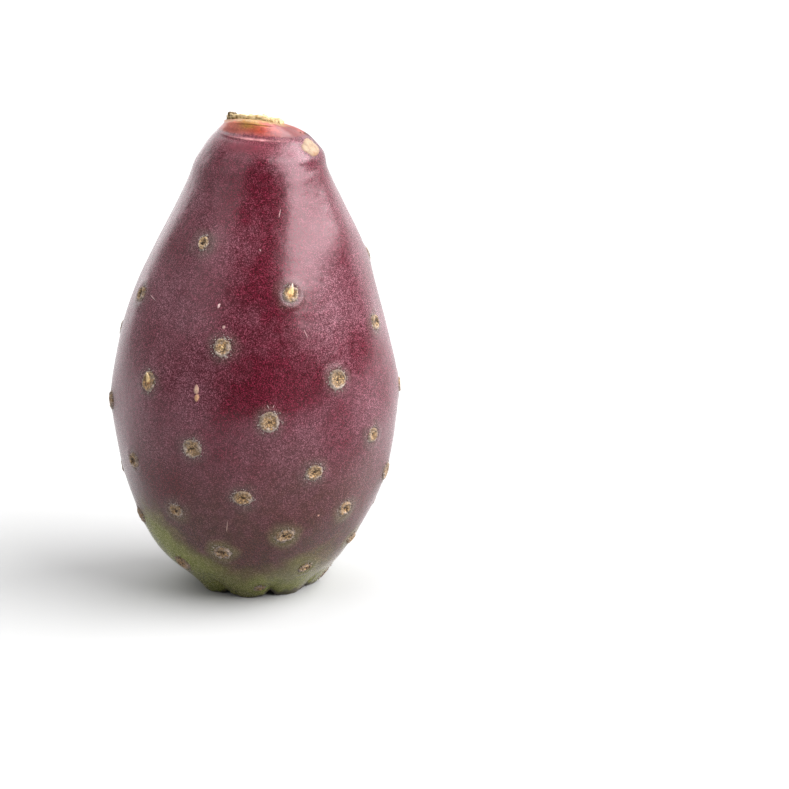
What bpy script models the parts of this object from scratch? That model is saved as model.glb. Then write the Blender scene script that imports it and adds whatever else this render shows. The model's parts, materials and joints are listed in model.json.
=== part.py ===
"""Prickly pear fruit: one whole, ripe red-purple fruit, as picked, standing on its flower end.

Units are metres, +Z is up, and -Y is the front. The origin is on the ground, in the middle of
the fruit's footprint. Azimuths are measured round the fruit from the front, positive towards +X.
"""

import functools
import math
import random

import bmesh
import bpy
from mathutils import Matrix, Vector

MM = 0.001

# Growth axis of the fruit at its girth
AXIS_X = -0.12 * MM
AXIS_Y = 0.06 * MM

# How far the neck and then the collar lean towards +X, and the hips the other way
NECK_LEAN = 1.3 * MM
NECK_FROM = 46.0 * MM
NECK_FULL = 74.0 * MM
COLLAR_LEAN = 0.7 * MM
COLLAR_FROM = 77.5 * MM
COLLAR_FULL = 81.0 * MM
HIP_LEAN = -0.45 * MM
HIP_HEIGHT = 9.0 * MM
HIP_SPREAD = 5.5 * MM

# Outer side of the fruit as (radius, height) in millimetres, from the stem end to the flower end
SEAT_PROFILE = ((0.0, 84.4), (2.6, 84.4), (5.2, 84.4), (5.3, 85.4))
COLLAR_PROFILE = ((5.3, 85.4), (6.5, 85.0), (7.8, 83.9), (9.3, 82.4), (10.6, 80.7), (11.4, 78.9))
BODY_PROFILE = (
    (11.4, 78.9), (12.5, 75.7), (15.0, 70.5), (18.3, 64.0), (21.5, 56.3), (24.2, 47.5), (25.8, 38.0),
    (25.3, 29.0), (23.3, 19.5), (20.3, 12.3), (16.6, 6.6), (12.8, 2.8), (11.0, 0.9),
)
FOOT_PROFILE = (
    (11.0, 0.9), (10.4, 0.15), (9.5, 0.05), (8.7, 0.9), (7.6, 2.3), (5.8, 3.2), (3.0, 3.5), (0.0, 3.6),
)
COLLAR_STEPS = 3
BODY_STEPS = 3
FOOT_STEPS = 2
SEGMENTS = 56

# Slope of the stem end: its +X side is the lower one
STEM_TILT = math.radians(4.0)
TILT_FROM = 74.0 * MM
TILT_FULL = 84.0 * MM

# The torn seat inside the collar lies back towards the growth axis
SEAT_OFFSET = -1.45 * MM
OFFSET_WITHIN = 5.5 * MM
OFFSET_BEYOND = 8.6 * MM

# Rise of the collar's rim and the seat: up towards the front, curling, and a little towards -X
SEAT_RADIUS = 5.3 * MM
FRONT_RISE = 0.9 * MM
FRONT_CURL = 0.6 * MM
SIDE_RISE = 0.12 * MM
RISE_BEYOND = 8.2 * MM

# Fold of skin that lies over the collar, deepest in front
FOLD_HEIGHT = 84.2 * MM
FOLD_DEPTH = 0.6 * MM
FOLD_HALF_WIDTH = 0.7 * MM
FOLD_AZIMUTH = math.radians(-10.0)
FOLD_NARROWNESS = 5
FOLD_BEYOND = 6.6 * MM

# Lobes round the flower end, which the fruit stands on, and the notches between them
LOBES = 8
LOBE_AZIMUTH = math.radians(-7.0)
LOBE_REACH = 8.0 * MM
LOBE_RADII = (6.1 * MM, 9.2 * MM)
LOBE_DROP = 0.35 * MM
LOBE_FLARE = 0.3 * MM
NOTCH_DEPTH = 1.0 * MM
NOTCH_NARROWNESS = 4.5
NOTCH_UNEVENNESS = 0.25
NOTCH_UNEVEN_WAVES = 3

# Areoles: each one is a golden angle round from the last, and a little lower
GOLDEN_ANGLE = math.pi * (3.0 - math.sqrt(5.0))
FIRST_AREOLE = -17
LAST_AREOLE = 34
SPIRAL_START = math.radians(6.5)
SPIRAL_TWIST = math.radians(1.0)
SPIRAL_SQUEEZE = math.radians(2.7)
SQUEEZE_AZIMUTH = math.radians(22.0)
SPIRAL_HEIGHTS = (36.3 * MM, -26.6 * MM, 8.8 * MM, -3.05 * MM)
SPIRAL_SPAN = 20.0
SPIRAL_DIP = 2.05 * MM
DIP_AZIMUTH = math.radians(32.0)

# Low swelling of the skin under each areole
SWELLING_HEIGHT = 0.25 * MM
SWELLING_RADIUS = 4.2 * MM
SWELLING_REACH = 2.5

# Corky button of an areole, with a pit in its middle
BUTTON_SIDES = 8
BUTTON_RADIUS = 1.58 * MM
BUTTON_TOP_RADIUS = 1.22 * MM
BUTTON_PROUD = 0.38 * MM
BUTTON_ROOT = 0.9 * MM
BUTTON_SQUASH = 0.82
BUTTON_SIZES = (0.85, 1.1)
BUTTON_SPIN = 0.5
PIT_RIM = 0.55 * MM
PIT_DEPTH = 0.32 * MM
FRAME_STEP = 0.5 * MM

# Dry stub of a scale, which every tenth areole keeps
STUB_EVERY = 10
STUB_OFFSET = 7
STUB_SIDES = 5
STUB_LENGTH = 2.9 * MM
STUB_RADIUS = 0.75 * MM
STUB_TIP = 0.11 * MM
STUB_FLATNESS = 0.55
STUB_SIZES = (0.7, 1.0)
STUB_SINK = 0.75 * MM
STUB_LIFT = math.radians(27.0)

# Dry, torn plate where the fruit was broken from its pad, as (radius, height) in millimetres
SCAR_PROFILE = ((0.0, 1.4), (2.2, 1.3), (3.9, 1.6), (4.85, 1.55), (4.95, 0.9), (4.55, 0.0), (0.0, 0.0))
SCAR_SEGMENTS = 26
SCAR_GAP = 0.3 * MM

# The plate's edge stands up and down in two sets of waves, most near its rim
RAGGED_HEIGHT = 0.35 * MM
RAGGED_WAVES = 5
RAGGED_RIPPLES = 11
RIPPLE_SHARE = 0.6
RAGGED_MIDDLE = 0.4
RAGGED_RADII = (3.0 * MM, 4.9 * MM)
RAGGED_LEVELS = (1.0 * MM, 1.5 * MM)

# Torn ends of fibre round the plate, and the hard knob on it
FIBRES = 17
FIBRE_SIDES = 4
FIBRE_RADIUS = 0.42 * MM
FIBRE_TIP = 0.12 * MM
FIBRE_LENGTH = (1.4 * MM, 2.6 * MM)
FIBRE_RING = (2.0 * MM, 4.3 * MM)
FIBRE_LEAN = (66.0, 84.0)
FIBRE_LEVEL = 1.25 * MM
FIBRE_ROOT_SHARE = 0.3
FIBRE_BACK_SHARE = 0.5
KNOB_RADIUS = 0.8 * MM
KNOB_PLACE = (-4.0 * MM, 0.6 * MM, 1.65 * MM)

SKIN_COLOUR = (0.145, 0.030, 0.058, 1.0)
SKIN_ROUGHNESS = 0.58
SCAR_COLOUR = (0.560, 0.400, 0.190, 1.0)
SCAR_ROUGHNESS = 0.9
SMOOTH_ANGLE = math.radians(38.0)
MERGE_DISTANCE = 0.00001
SEED = 7


def clear_scene():
    for obj in list(bpy.data.objects):
        bpy.data.objects.remove(obj, do_unlink=True)


def new_collection(name):
    collection = bpy.data.collections.new(name)
    bpy.context.scene.collection.children.link(collection)
    return collection


def principled(name, colour, roughness):
    material = bpy.data.materials.new(name)
    material.use_nodes = True
    shader = material.node_tree.nodes["Principled BSDF"]
    shader.inputs["Base Color"].default_value = colour
    shader.inputs["Roughness"].default_value = roughness
    shader.inputs["Metallic"].default_value = 0.0
    return material


def smoothstep(low, high, value):
    t = min(1.0, max(0.0, (value - low) / (high - low)))
    return t * t * (3.0 - 2.0 * t)


def spline(points, steps):
    """A Catmull-Rom curve through the points, without its last point."""
    ends = [Vector(p) for p in points]
    ends = [2 * ends[0] - ends[1]] + ends + [2 * ends[-1] - ends[-2]]
    found = []
    for before, start, end, after in zip(ends, ends[1:], ends[2:], ends[3:]):
        for step in range(steps):
            t = step / steps
            found.append(0.5 * (
                2 * start
                + (end - before) * t
                + (2 * before - 5 * start + 4 * end - after) * t ** 2
                + (3 * start - before - 3 * end + after) * t ** 3
            ))
    return found


def fruit_outline():
    outline = [Vector(p) for p in SEAT_PROFILE[:-1]]
    outline += spline(COLLAR_PROFILE, COLLAR_STEPS)
    outline += spline(BODY_PROFILE, BODY_STEPS)
    outline += spline(FOOT_PROFILE, FOOT_STEPS)
    outline.append(Vector(FOOT_PROFILE[-1]))
    return [point * MM for point in outline]


@functools.cache
def body_side():
    return [point * MM for point in spline(BODY_PROFILE, BODY_STEPS)]


def girth(height):
    """Radius of the fruit's outer side at a height, between the foot and the collar."""
    side = body_side()
    for upper, lower in zip(side, side[1:]):
        if lower.y <= height <= upper.y:
            share = (height - lower.y) / (upper.y - lower.y)
            return lower.x + share * (upper.x - lower.x)
    return side[-1].x


def axis_shift(point):
    """How far towards +X a point is carried: neck, collar and hips lean, and the seat lies back."""
    lean = NECK_LEAN * smoothstep(NECK_FROM, NECK_FULL, point.z)
    lean += COLLAR_LEAN * smoothstep(COLLAR_FROM, COLLAR_FULL, point.z)
    lean += HIP_LEAN * math.exp(-((point.z - HIP_HEIGHT) / HIP_SPREAD) ** 2)
    inside = 1.0 - smoothstep(OFFSET_WITHIN, OFFSET_BEYOND, math.hypot(point.x, point.y))
    return AXIS_X + lean + SEAT_OFFSET * inside * smoothstep(TILT_FROM, TILT_FULL, point.z)


def rim_rise(point):
    """How far the seat and the rim round it stand above a level stem end at a place."""
    front = -point.y / SEAT_RADIUS
    rise = FRONT_RISE * front + FRONT_CURL * front ** 2 - SIDE_RISE * point.x / SEAT_RADIUS
    return rise * (1.0 - smoothstep(SEAT_RADIUS, RISE_BEYOND, math.hypot(point.x, point.y)))


def placed(point):
    """Tilts and raises the stem end, leans the growth axis and centres the fruit over its footprint."""
    stem_end = smoothstep(TILT_FROM, TILT_FULL, point.z)
    height = point.z + (rim_rise(point) - math.tan(STEM_TILT) * point.x) * stem_end
    return Vector((point.x + axis_shift(point), point.y + AXIS_Y, height))


def on_skin(azimuth, height):
    """A point on the smooth fruit, before any swelling, measured from its growth axis."""
    radius = girth(height)
    return Vector((radius * math.sin(azimuth), -radius * math.cos(azimuth), height))


def areole_places():
    """(number, azimuth, height) of each areole, from the stem end down the one spiral they grow on."""
    places = []
    for number in range(FIRST_AREOLE, LAST_AREOLE + 1):
        turn = number / SPIRAL_SPAN
        azimuth = SPIRAL_START + SPIRAL_TWIST * turn + GOLDEN_ANGLE * number
        azimuth -= SPIRAL_SQUEEZE * math.sin(2 * (azimuth - SQUEEZE_AZIMUTH))
        height = sum(part * turn ** power for power, part in enumerate(SPIRAL_HEIGHTS))
        height -= SPIRAL_DIP * math.sin(azimuth - DIP_AZIMUTH)
        places.append((number, azimuth, height))
    return places


def lobed(point, radius, azimuth, outward):
    """How far the lobes and notches of the flower end carry a point."""
    if point.z >= LOBE_REACH or radius <= LOBE_RADII[0]:
        return Vector()
    near_foot = (1.0 - smoothstep(0.0, LOBE_REACH, point.z)) * smoothstep(*LOBE_RADII, radius)
    wave = math.cos(LOBES * (azimuth - LOBE_AZIMUTH))
    uneven = 1.0 + NOTCH_UNEVENNESS * math.sin(NOTCH_UNEVEN_WAVES * azimuth + 1.0)
    lift = NOTCH_DEPTH * uneven * (0.5 - 0.5 * wave) ** NOTCH_NARROWNESS
    lift -= LOBE_DROP * max(wave, 0.0)
    moved = outward * LOBE_FLARE * wave * near_foot
    moved.z = max(near_foot ** 2 * lift, -point.z)
    return moved


def folded(point, radius, azimuth, outward):
    """How far the fold over the collar carries a point inward."""
    if radius <= FOLD_BEYOND:
        return Vector()
    turn = (0.5 + 0.5 * math.cos(azimuth - FOLD_AZIMUTH)) ** FOLD_NARROWNESS
    fold = math.exp(-((point.z - FOLD_HEIGHT) / FOLD_HALF_WIDTH) ** 2)
    return -outward * FOLD_DEPTH * fold * turn


def grown(point, swellings):
    """Where a point of the plain turned fruit lies on the real one."""
    radius = math.hypot(point.x, point.y)
    azimuth = math.atan2(point.x, -point.y)
    outward = Vector((point.x, point.y, 0.0)) / max(radius, MERGE_DISTANCE)
    moved = point + lobed(point, radius, azimuth, outward) + folded(point, radius, azimuth, outward)
    for centre in swellings:
        distance = (point - centre).length / SWELLING_RADIUS
        if distance < SWELLING_REACH:
            moved += outward * SWELLING_HEIGHT * math.exp(-distance ** 2)
    return placed(moved)


def turned(name, outline, segments, collection):
    """A closed solid of revolution from an outline that starts and ends on the axis."""
    mesh = bpy.data.meshes.new(name)
    points = [(point.x, 0.0, point.y) for point in outline]
    edges = [(i, i + 1) for i in range(len(points) - 1)]
    mesh.from_pydata(points, edges, [])
    obj = bpy.data.objects.new(name, mesh)
    collection.objects.link(obj)
    screw = obj.modifiers.new("Turn", "SCREW")
    screw.axis = "Z"
    screw.steps = segments
    screw.render_steps = segments
    screw.use_merge_vertices = True
    screw.merge_threshold = MERGE_DISTANCE
    apply_modifiers(obj)
    return obj


def apply_modifiers(obj):
    bpy.context.view_layer.update()
    evaluated = obj.evaluated_get(bpy.context.evaluated_depsgraph_get())
    mesh = bpy.data.meshes.new_from_object(evaluated)
    obj.modifiers.clear()
    old = obj.data
    obj.data = mesh
    bpy.data.meshes.remove(old)


def join_all(obj, collection):
    """Unites an object with all of a collection's objects, which are then removed."""
    union = obj.modifiers.new("Grown together", "BOOLEAN")
    union.operation = "UNION"
    union.operand_type = "COLLECTION"
    union.collection = collection
    union.solver = "EXACT"
    apply_modifiers(obj)
    for helper in list(collection.objects):
        bpy.data.objects.remove(helper, do_unlink=True)
    bpy.data.collections.remove(collection)


def finish(obj, name, material):
    obj.name = name
    obj.data.name = name
    obj.data.materials.clear()
    obj.data.materials.append(material)
    obj.data.shade_smooth()
    obj.data.set_sharp_from_angle(angle=SMOOTH_ANGLE)


def from_bmesh(name, bm, matrix, collection):
    bmesh.ops.recalc_face_normals(bm, faces=bm.faces)
    mesh = bpy.data.meshes.new(name)
    bm.to_mesh(mesh)
    bm.free()
    mesh.transform(matrix)
    obj = bpy.data.objects.new(name, mesh)
    collection.objects.link(obj)
    return obj


def skin_frame(azimuth, height, swellings):
    """Axes on the grown skin: X round the fruit, Y up along the skin, Z out of it."""
    centre = grown(on_skin(azimuth, height), swellings)
    above = grown(on_skin(azimuth, height + FRAME_STEP), swellings)
    beside = grown(on_skin(azimuth + FRAME_STEP / girth(height), height), swellings)
    up = (above - centre).normalized()
    out = (beside - centre).cross(up).normalized()
    across = up.cross(out)
    frame = Matrix((across, up, out)).transposed().to_4x4()
    frame.translation = centre
    return frame


def add_button(name, frame, size, spin, collection):
    """Corky button: a low eight-sided plug, sunk well into the skin, with a pit pushed into its top."""
    bm = bmesh.new()
    bmesh.ops.create_cone(
        bm, cap_ends=True, segments=BUTTON_SIDES, radius1=BUTTON_RADIUS * size,
        radius2=BUTTON_TOP_RADIUS * size, depth=BUTTON_PROUD + BUTTON_ROOT,
    )
    top = max(bm.faces, key=lambda face: face.calc_center_median().z)
    bmesh.ops.inset_region(bm, faces=[top], thickness=PIT_RIM * size, depth=-PIT_DEPTH)
    sink = Matrix.Translation((0.0, 0.0, (BUTTON_PROUD - BUTTON_ROOT) / 2))
    squash = Matrix.Diagonal((1.0, BUTTON_SQUASH, 1.0, 1.0))
    return from_bmesh(name, bm, frame @ Matrix.Rotation(spin, 4, "Z") @ squash @ sink, collection)


def add_stub(name, frame, size, collection):
    """Dry scale: a flattened spike, rooted in the middle of its button, that leans up along the skin."""
    bm = bmesh.new()
    length = STUB_LENGTH * size
    bmesh.ops.create_cone(
        bm, cap_ends=True, segments=STUB_SIDES, radius1=STUB_RADIUS * size, radius2=STUB_TIP,
        depth=length,
    )
    stand = Matrix.Translation((0.0, 0.0, length / 2 - STUB_SINK))
    lie = Matrix.Rotation(STUB_LIFT - math.pi / 2, 4, "X")
    flatten = Matrix.Diagonal((1.0, STUB_FLATNESS, 1.0, 1.0))
    return from_bmesh(name, bm, frame @ lie @ flatten @ stand, collection)


def make_fruit(collection, material):
    places = areole_places()
    swellings = [on_skin(azimuth, height) for _, azimuth, height in places]
    fruit = turned("fruit", fruit_outline(), SEGMENTS, collection)
    for vertex in fruit.data.vertices:
        vertex.co = grown(vertex.co, swellings)
    repeats = new_collection("Areoles")
    draw = random.Random(SEED)
    for number, azimuth, height in places:
        size = draw.uniform(*BUTTON_SIZES)
        spin = draw.uniform(-BUTTON_SPIN, BUTTON_SPIN)
        frame = skin_frame(azimuth, height, swellings)
        add_button(f"areole_{number}", frame, size, spin, repeats)
        if number % STUB_EVERY == STUB_OFFSET:
            add_stub(f"scale_{number}", frame, draw.uniform(*STUB_SIZES), repeats)
    join_all(fruit, repeats)
    finish(fruit, "fruit", material)
    return fruit


def scar_floor():
    """Matrix that sets a thing built on the ground into the sloping seat at the stem end."""
    seat = placed(Vector((0.0, 0.0, SEAT_PROFILE[0][1] * MM)))
    slope = Matrix.Rotation(STEM_TILT, 4, "Y")
    return Matrix.Translation(seat + Vector((0.0, 0.0, SCAR_GAP))) @ slope


def ragged(point):
    """How far the torn waves lift a point of the plate: none under its rim."""
    azimuth = math.atan2(point.x, -point.y)
    waves = math.sin(RAGGED_WAVES * azimuth) + RIPPLE_SHARE * math.sin(RAGGED_RIPPLES * azimuth + 1.0)
    edge = smoothstep(*RAGGED_RADII, math.hypot(point.x, point.y))
    share = RAGGED_MIDDLE + (1.0 - RAGGED_MIDDLE) * edge
    return RAGGED_HEIGHT * waves * share * smoothstep(*RAGGED_LEVELS, point.z)


def add_fibre(name, draw, collection):
    """A torn fibre: a thin taper that leans outward from its root in the plate."""
    azimuth = draw.uniform(-math.pi, math.pi)
    reach = draw.uniform(*FIBRE_RING)
    length = draw.uniform(*FIBRE_LENGTH)
    lean = math.radians(draw.uniform(*FIBRE_LEAN))
    bm = bmesh.new()
    bmesh.ops.create_cone(
        bm, cap_ends=True, segments=FIBRE_SIDES, radius1=FIBRE_RADIUS, radius2=FIBRE_TIP, depth=length,
    )
    root = Matrix.Translation((0.0, 0.0, length * FIBRE_ROOT_SHARE))
    turn = Matrix.Rotation(azimuth, 4, "Z")
    out = Matrix.Translation((reach - length * FIBRE_BACK_SHARE, 0.0, FIBRE_LEVEL))
    return from_bmesh(name, bm, turn @ out @ Matrix.Rotation(lean, 4, "Y") @ root, collection)


def make_stem_scar(collection, material):
    outline = [Vector(p) * MM for p in SCAR_PROFILE]
    scar = turned("stem_scar", outline, SCAR_SEGMENTS, collection)
    for vertex in scar.data.vertices:
        vertex.co.z += ragged(vertex.co)
    repeats = new_collection("Fibres")
    draw = random.Random(SEED)
    for number in range(FIBRES):
        add_fibre(f"fibre_{number}", draw, repeats)
    bm = bmesh.new()
    bmesh.ops.create_icosphere(bm, subdivisions=1, radius=KNOB_RADIUS)
    from_bmesh("knob", bm, Matrix.Translation(KNOB_PLACE), repeats)
    join_all(scar, repeats)
    for vertex in scar.data.vertices:
        vertex.co.z += rim_rise(vertex.co)
    scar.data.transform(scar_floor())
    finish(scar, "stem_scar", material)
    return scar


def main():
    clear_scene()
    collection = new_collection("Prickly pear fruit")
    make_fruit(collection, principled("Waxy purple skin", SKIN_COLOUR, SKIN_ROUGHNESS))
    make_stem_scar(collection, principled("Dry straw scar", SCAR_COLOUR, SCAR_ROUGHNESS))


main()
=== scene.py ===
"""Looks of a whole prickly pear fruit: waxy speckled skin, felted areoles, dry scales and a torn stem scar.

Units are metres, +Z is up and -Y is the front. Azimuths are measured round the fruit from the front,
positive towards +X. The form follows the same profile, lean, lobes, fold and spiral as the solids.
"""

import json
import math
import random

import bpy
import numpy as np
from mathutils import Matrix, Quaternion, Vector, noise

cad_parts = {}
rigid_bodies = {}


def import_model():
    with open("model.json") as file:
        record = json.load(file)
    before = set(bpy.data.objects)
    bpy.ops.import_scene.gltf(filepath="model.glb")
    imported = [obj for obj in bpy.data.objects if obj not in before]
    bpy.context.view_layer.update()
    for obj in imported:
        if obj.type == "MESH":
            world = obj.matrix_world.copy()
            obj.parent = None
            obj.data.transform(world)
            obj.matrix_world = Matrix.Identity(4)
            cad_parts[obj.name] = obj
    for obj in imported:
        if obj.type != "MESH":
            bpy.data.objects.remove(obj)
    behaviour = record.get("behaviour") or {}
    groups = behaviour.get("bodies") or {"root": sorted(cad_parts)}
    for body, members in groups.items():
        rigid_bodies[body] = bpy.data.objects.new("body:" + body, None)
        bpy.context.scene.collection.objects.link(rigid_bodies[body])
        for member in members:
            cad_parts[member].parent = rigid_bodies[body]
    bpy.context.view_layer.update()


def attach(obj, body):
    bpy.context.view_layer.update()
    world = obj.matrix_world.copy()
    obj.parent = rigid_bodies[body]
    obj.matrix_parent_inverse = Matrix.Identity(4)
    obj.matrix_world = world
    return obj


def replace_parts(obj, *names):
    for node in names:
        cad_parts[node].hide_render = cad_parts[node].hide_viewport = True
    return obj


for leftover in list(bpy.data.objects):
    bpy.data.objects.remove(leftover, do_unlink=True)

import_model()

MM = 0.001

# The fruit's form, as in the solids
AXIS_X, AXIS_Y = -0.12, 0.06
NECK_LEAN, NECK_RANGE = 1.3, (46.0, 74.0)
COLLAR_LEAN, COLLAR_RANGE = 0.7, (77.5, 81.0)
HIP_LEAN, HIP_HEIGHT, HIP_SPREAD = -0.45, 9.0, 5.5
SEAT_PROFILE = ((0.0, 84.4), (2.6, 84.4), (5.2, 84.4), (5.3, 85.4))
COLLAR_PROFILE = ((5.3, 85.4), (6.5, 85.0), (7.8, 83.9), (9.3, 82.4), (10.6, 80.7), (11.4, 78.9))
BODY_PROFILE = (
    (11.4, 78.9), (12.5, 75.7), (15.0, 70.5), (18.3, 64.0), (21.5, 56.3), (24.2, 47.5), (25.8, 38.0),
    (25.3, 29.0), (23.3, 19.5), (20.3, 12.3), (16.6, 6.6), (12.8, 2.8), (11.0, 0.9),
)
FOOT_PROFILE = (
    (11.0, 0.9), (10.4, 0.15), (9.5, 0.05), (8.7, 0.9), (7.6, 2.3), (5.8, 3.2), (3.0, 3.5), (0.0, 3.6),
)
STEM_TILT, TILT_RANGE = math.tan(math.radians(4.0)), (74.0, 84.0)
SEAT_OFFSET, OFFSET_RADII = -1.45, (5.5, 8.6)
SEAT_RADIUS, FRONT_RISE, FRONT_CURL, SIDE_RISE, RISE_BEYOND = 5.3, 0.9, 0.6, 0.12, 8.2
FOLD_HEIGHT, FOLD_DEPTH, FOLD_HALF_WIDTH = 84.2, 0.6, 0.7
FOLD_AZIMUTH, FOLD_NARROWNESS, FOLD_BEYOND = math.radians(-10.0), 5, 6.6
LOBES, LOBE_AZIMUTH, LOBE_REACH, LOBE_RADII = 8, math.radians(-7.0), 8.0, (6.1, 9.2)
LOBE_DROP, LOBE_FLARE = 0.35, 0.15
NOTCH_DEPTH, NOTCH_NARROWNESS, NOTCH_UNEVENNESS, NOTCH_UNEVEN_WAVES = 0.85, 9.0, 0.25, 3
GOLDEN_ANGLE = math.pi * (3.0 - math.sqrt(5.0))
AREOLES = range(-17, 35)
SPIRAL_START, SPIRAL_TWIST = math.radians(6.5), math.radians(1.0)
SPIRAL_SQUEEZE, SQUEEZE_AZIMUTH = math.radians(2.7), math.radians(22.0)
SPIRAL_HEIGHTS, SPIRAL_SPAN = (36.3, -26.6, 8.8, -3.05), 20.0
SPIRAL_DIP, DIP_AZIMUTH = 2.05, math.radians(32.0)
SWELLING_HEIGHT, SWELLING_RADIUS, SWELLING_CUT = 0.25, 4.2, 2.5

# Skin mesh: points round the fruit, and the spacing of its rows in millimetres by stretch of the outline
SKIN_SEGMENTS = 336
PROFILE_STEPS = 24
ROW_SPACING = ((84.39, 84.5, 1.2), (82.6, 84.39, 0.15), (84.5, 85.5, 0.16), (78.0, 82.6, 0.28))
BODY_SPACING, FOOT_SPACING, DIMPLE_SPACING = 0.43, 0.3, 0.6
FOOT_TOP, DIMPLE_RADIUS = 6.0, 8.6

# Long low waves of the skin, its fine unevenness, the pads' surroundings and the lip of the fold. Here and
# below, a _TURN is an azimuth and a width in degrees, and the rest is in millimetres.
WAVES, WAVE_HEIGHT, WAVE_TURNS, WAVE_LENGTHS = 12, 0.035, (1, 9), (16.0, 60.0)
WAVES_START, WAVES_END = (1.5, 9.0), (80.0, 83.0)
UNEVEN_HEIGHT, UNEVEN_SIZE, UNEVEN_START = 0.022, 1.3, (0.8, 2.5)
RIM_HEIGHT, RIM_RADIUS, RIM_WIDTH = 0.09, 2.15, 0.5
PAD_DIP, PAD_DIP_RADIUS = 0.16, 1.35
LIP_LEVEL, LIP_WIDTH, LIP_HEIGHT = 83.55, 0.24, 0.16
CREASE_LEVEL, CREASE_WIDTH, CREASE_DEPTH = 84.05, 0.2, 0.16
LIP_TURN = (-20.0, 52.0)

# The right front of the neck stands out: how far, from what height, how softly, over what height it grows
# and where it ends, with a shoulder below and a dent above. The collar's left rim is lower.
NECK_FILL, NECK_TURN = 0.75, (50.0, 36.0)
FILL_START, FILL_SOFTNESS, FILL_GROWTH, FILL_END = 63.0, 2.5, 14.0, (76.0, 83.0)
SHOULDER, SHOULDER_LEVEL, SHOULDER_WIDTH = 0.33, 64.0, 5.0
DENT, DENT_LEVEL, DENT_WIDTH = 0.16, 79.2, 1.2
COLLAR_TRIM, TRIM_TURN, TRIM_LEVEL, TRIM_WIDTH, TRIM_BEYOND = 0.55, (-90.0, 50.0), 85.0, 0.9, 5.6

SEED = 11


def smoothstep(low, high, value):
    t = np.clip((value - low) / (high - low), 0.0, 1.0)
    return t * t * (3.0 - 2.0 * t)


def fade(low, high, value):
    return 1.0 - smoothstep(low, high, value)


def bell(value, centre, width):
    return np.exp(-(((value - centre) / width) ** 2))


def turn_bell(azimuth, centre, width):
    """A bell round the fruit, with centre and width in degrees."""
    away = (azimuth - math.radians(centre) + math.pi) % (2.0 * math.pi) - math.pi
    return np.exp(-((away / math.radians(width)) ** 2))


def spline(points, steps):
    """A Catmull-Rom curve through the points, without its last point."""
    ends = np.array(points, float)
    ends = np.vstack([2 * ends[0] - ends[1], ends, 2 * ends[-1] - ends[-2]])
    before, start, end, after = (ends[i:len(ends) - 3 + i, None] for i in range(4))
    t = (np.arange(steps) / steps)[None, :, None]
    curve = 0.5 * (
        2 * start + (end - before) * t + (2 * before - 5 * start + 4 * end - after) * t ** 2
        + (3 * start - before - 3 * end + after) * t ** 3
    )
    return curve.reshape(-1, 2)


SIDE = np.vstack([
    spline(COLLAR_PROFILE, PROFILE_STEPS), spline(BODY_PROFILE, PROFILE_STEPS), BODY_PROFILE[-1:],
])


def girth(height):
    """Radius of the fruit's side at a height, from the foot to the collar's top."""
    return np.interp(height, SIDE[::-1, 1], SIDE[::-1, 0])


def areole_place(number):
    """(azimuth, height) of an areole on the one spiral that they all grow on."""
    turn = number / SPIRAL_SPAN
    azimuth = SPIRAL_START + SPIRAL_TWIST * turn + GOLDEN_ANGLE * number
    azimuth -= SPIRAL_SQUEEZE * math.sin(2 * (azimuth - SQUEEZE_AZIMUTH))
    height = sum(part * turn ** power for power, part in enumerate(SPIRAL_HEIGHTS))
    return azimuth, height - SPIRAL_DIP * math.sin(azimuth - DIP_AZIMUTH)


def plain(azimuth, radius, height):
    """Points of the plain turned fruit, in millimetres."""
    azimuth, radius, height = np.broadcast_arrays(azimuth, radius, height)
    return np.stack([radius * np.sin(azimuth), -radius * np.cos(azimuth), height], -1)


PLACES = {number: areole_place(number) for number in AREOLES}
CENTRES = {n: plain(a, girth(h), h) for n, (a, h) in PLACES.items()}


def rim_rise(x, y):
    """How far the seat and the rim round it stand above a level stem end."""
    front = -y / SEAT_RADIUS
    rise = FRONT_RISE * front + FRONT_CURL * front ** 2 - SIDE_RISE * x / SEAT_RADIUS
    return rise * fade(SEAT_RADIUS, RISE_BEYOND, np.hypot(x, y))


def grown(points):
    """Where points of the plain turned fruit lie on the real one, in millimetres."""
    x, y, z = np.moveaxis(points, -1, 0)
    radius = np.hypot(x, y)
    azimuth = np.arctan2(x, -y)
    push = np.zeros_like(z)
    for centre in CENTRES.values():
        near = ((points - centre) ** 2).sum(-1) / SWELLING_RADIUS ** 2
        push += SWELLING_HEIGHT * np.exp(-near) * (near < SWELLING_CUT ** 2)
    near_foot = fade(0.0, LOBE_REACH, z) * smoothstep(*LOBE_RADII, radius)
    wave = np.cos(LOBES * (azimuth - LOBE_AZIMUTH))
    uneven = 1.0 + NOTCH_UNEVENNESS * np.sin(NOTCH_UNEVEN_WAVES * azimuth + 1.0)
    lift = NOTCH_DEPTH * uneven * (0.5 - 0.5 * wave) ** NOTCH_NARROWNESS - LOBE_DROP * np.maximum(wave, 0.0)
    push += LOBE_FLARE * wave * near_foot
    lifted = z + np.maximum(near_foot ** 2 * lift, -z)
    fold = (0.5 + 0.5 * np.cos(azimuth - FOLD_AZIMUTH)) ** FOLD_NARROWNESS
    push -= FOLD_DEPTH * fold * bell(z, FOLD_HEIGHT, FOLD_HALF_WIDTH) * (radius > FOLD_BEYOND)
    grown_radius = 1.0 + push / np.maximum(radius, 0.01)
    x, y = x * grown_radius, y * grown_radius
    lean = AXIS_X + NECK_LEAN * smoothstep(*NECK_RANGE, lifted)
    lean = lean + COLLAR_LEAN * smoothstep(*COLLAR_RANGE, lifted)
    lean = lean + HIP_LEAN * bell(lifted, HIP_HEIGHT, HIP_SPREAD)
    inside = fade(*OFFSET_RADII, np.hypot(x, y))
    tilted = smoothstep(*TILT_RANGE, lifted)
    lifted = lifted + (rim_rise(x, y) - STEM_TILT * x) * tilted
    return np.stack([x + lean + SEAT_OFFSET * inside * tilted, y + AXIS_Y, lifted], -1)


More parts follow.
